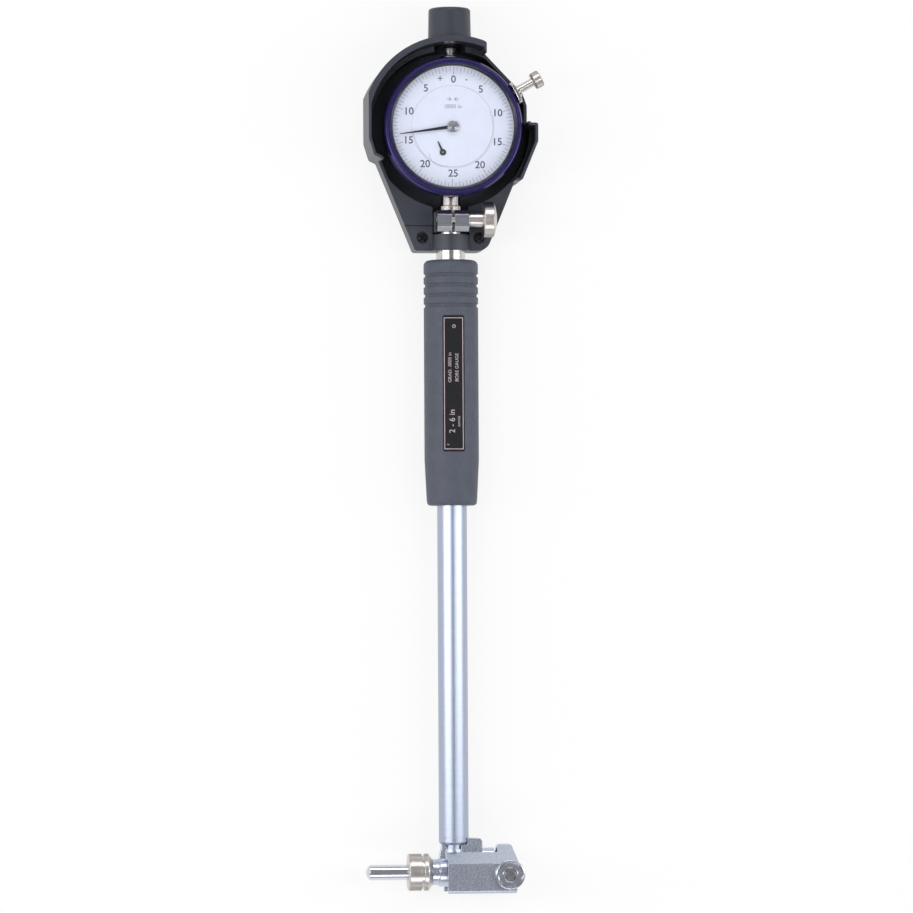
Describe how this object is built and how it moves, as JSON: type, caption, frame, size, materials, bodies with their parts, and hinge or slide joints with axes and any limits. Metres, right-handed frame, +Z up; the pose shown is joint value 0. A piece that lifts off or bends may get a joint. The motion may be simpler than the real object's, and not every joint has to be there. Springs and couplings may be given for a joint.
{
  "type": "dial bore gauge",
  "caption": "Dial bore gauge: a round dial indicator clamped in a guarded cover above a long hand grip and stem, with a roller-guided measuring head across the foot.",
  "frame": {"origin": "middle of the bounding box, at the height of the table the gauge lies on", "axes": "+Y along the stem from the measuring head towards the dial, +X along the measuring axis from the fixed anvil to the moving contact, +Z up out of the dial; the gauge lies on its back"},
  "size_m": [0.0743, 0.3634, 0.03],
  "materials": {
    "cover": "moulded, fine satin grain",
    "black_screw": "black oxide",
    "grip": "leather grain",
    "label": "black with silver lines",
    "tube": "satin",
    "collar": "polished",
    "inner_steel": "ground",
    "clamp": "satin nickel",
    "thumb_screw": "diamond knurl",
    "case": "black",
    "indicator_stem": "polished",
    "movement_brass": "turned",
    "dial": "printed white",
    "dial_black": "black",
    "crystal": "clear",
    "bezel": "dark blue anodised",
    "hand": "black",
    "hub": "turned",
    "bezel_clamp": "nickel",
    "head": "satin chrome",
    "contact_bush": "ground",
    "guide": "satin chrome",
    "roller": "bright",
    "roller_screw": "bright",
    "anvil": "polished",
    "nut": "diamond knurl"
  },
  "bodies": {
    "gauge": {"cover_shell": "cover", "cover_front_plate": "cover", "cover_screws": "black_screw", "grip": "grip", "label_plate": "label", "stem_tube": "tube", "tube_ferrule": "tube", "stem_holder": "collar", "clamp_ring": "clamp", "indicator_case": "case", "indicator_back": "case", "back_posts": "inner_steel", "back_screws": "case", "indicator_stem": "indicator_stem", "spindle_top_bush": "inner_steel", "movement_back_plate": "movement_brass", "movement_front_plate": "movement_brass", "movement_posts": "inner_steel", "centre_bridge": "movement_brass", "dial_centre": "dial", "bezel_clamp_bracket": "bezel_clamp", "head_body": "head", "head_stop_block": "head", "contact_bush": "contact_bush", "crank_pin": "inner_steel", "anvil": "anvil"},
    "contact": {"contact_point": "anvil"},
    "crank": {"bell_crank": "inner_steel"},
    "rod": {"push_rod": "inner_steel"},
    "spindle": {"spindle": "inner_steel", "spindle_cap": "inner_steel"},
    "rack_gear": {"rack_pinion": "inner_steel", "rack_wheel": "movement_brass", "small_hand": "hand"},
    "take_up_gear": {"take_up_wheel": "movement_brass"},
    "centre_gear": {"centre_pinion": "inner_steel", "main_hand": "hand", "main_hand_hub": "hub"},
    "bezel": {"bezel": "bezel", "dial_ring": "dial", "dial_spacer": "dial_black", "crystal": "crystal", "crystal_ring": "dial_black"},
    "bezel_clamp_screw": {"bezel_clamp_screw": "bezel_clamp"},
    "thumb_screw": {"thumb_screw": "thumb_screw"},
    "anvil_nut": {"anvil_nut": "nut"},
    "guide": {"guide": "guide", "guide_rods": "inner_steel", "roller_screws": "roller_screw", "roller_washers": "inner_steel"},
    "front_roller": {"front_roller": "roller"},
    "rear_roller": {"rear_roller": "roller"}
  },
  "joints": [
    {"name": "contact_slide", "type": "slide", "parent": "gauge", "child": "contact", "axis": [-1, 0, 0], "range_m": [0, 0.0016], "stiffness_N_per_m": 150, "springref_m": -0.02},
    {"name": "crank_hinge", "type": "hinge", "parent": "gauge", "child": "crank", "pos_m": [0.00352, -0.16875, 0.013], "axis": [0, 0, 1], "range_deg": [-20.5, 0]},
    {"name": "push_rod_slide", "type": "slide", "parent": "gauge", "child": "rod", "axis": [0, 1, 0], "range_m": [0, 0.0016]},
    {"name": "spindle_slide", "type": "slide", "parent": "gauge", "child": "spindle", "axis": [0, 1, 0], "range_m": [0, 0.0016]},
    {"name": "small_hand_hinge", "type": "hinge", "parent": "gauge", "child": "rack_gear", "pos_m": [-0.00518, 0.12125, 0.023], "axis": [0, 0, 1], "range_deg": [0, 45.5]},
    {"name": "take_up_hinge", "type": "hinge", "parent": "gauge", "child": "take_up_gear", "pos_m": [-0.00967, 0.13899, 0.018], "axis": [0, 0, 1], "range_deg": [0, 45.5]},
    {"name": "main_hand_hinge", "type": "hinge", "parent": "gauge", "child": "centre_gear", "pos_m": [-0.00098, 0.13175, 0.023], "axis": [0, 0, 1], "range_deg": [-453.7, 0]},
    {"name": "bezel_turn", "type": "hinge", "parent": "gauge", "child": "bezel", "pos_m": [-0.00098, 0.13175, 0.025], "axis": [0, 0, 1], "continuous": true},
    {"name": "bezel_clamp_turn", "type": "hinge", "parent": "gauge", "child": "bezel_clamp_screw", "pos_m": [0.0325, 0.14993, 0.025], "axis": [0.8788, 0.4772, 0], "range_deg": [-540, 0]},
    {"name": "thumb_screw_turn", "type": "hinge", "parent": "gauge", "child": "thumb_screw", "pos_m": [0.01102, 0.09395, 0.0224], "axis": [1, 0, 0], "range_deg": [-720, 0]},
    {"name": "anvil_nut_turn", "type": "hinge", "parent": "gauge", "child": "anvil_nut", "pos_m": [-0.01498, -0.17325, 0.013], "axis": [1, 0, 0], "range_deg": [0, 1080]},
    {"name": "guide_slide", "type": "slide", "parent": "gauge", "child": "guide", "axis": [-1, 0, 0], "range_m": [0, 0.0028], "stiffness_N_per_m": 400, "springref_m": -0.015},
    {"name": "front_roller_turn", "type": "hinge", "parent": "guide", "child": "front_roller", "pos_m": [0.02102, -0.17405, 0.0245], "axis": [0, 0, 1], "continuous": true},
    {"name": "rear_roller_turn", "type": "hinge", "parent": "guide", "child": "rear_roller", "pos_m": [0.02102, -0.17405, 0.0015], "axis": [0, 0, 1], "continuous": true}
  ],
  "couplings": [
    {"joint": "crank_hinge", "follows": "contact_slide", "rad_per_m": -222.22},
    {"joint": "push_rod_slide", "follows": "contact_slide", "ratio": 1},
    {"joint": "spindle_slide", "follows": "contact_slide", "ratio": 1},
    {"joint": "small_hand_hinge", "follows": "contact_slide", "rad_per_m": 494.74},
    {"joint": "take_up_hinge", "follows": "contact_slide", "rad_per_m": 494.74},
    {"joint": "main_hand_hinge", "follows": "contact_slide", "rad_per_m": -4947.4}
  ]
}
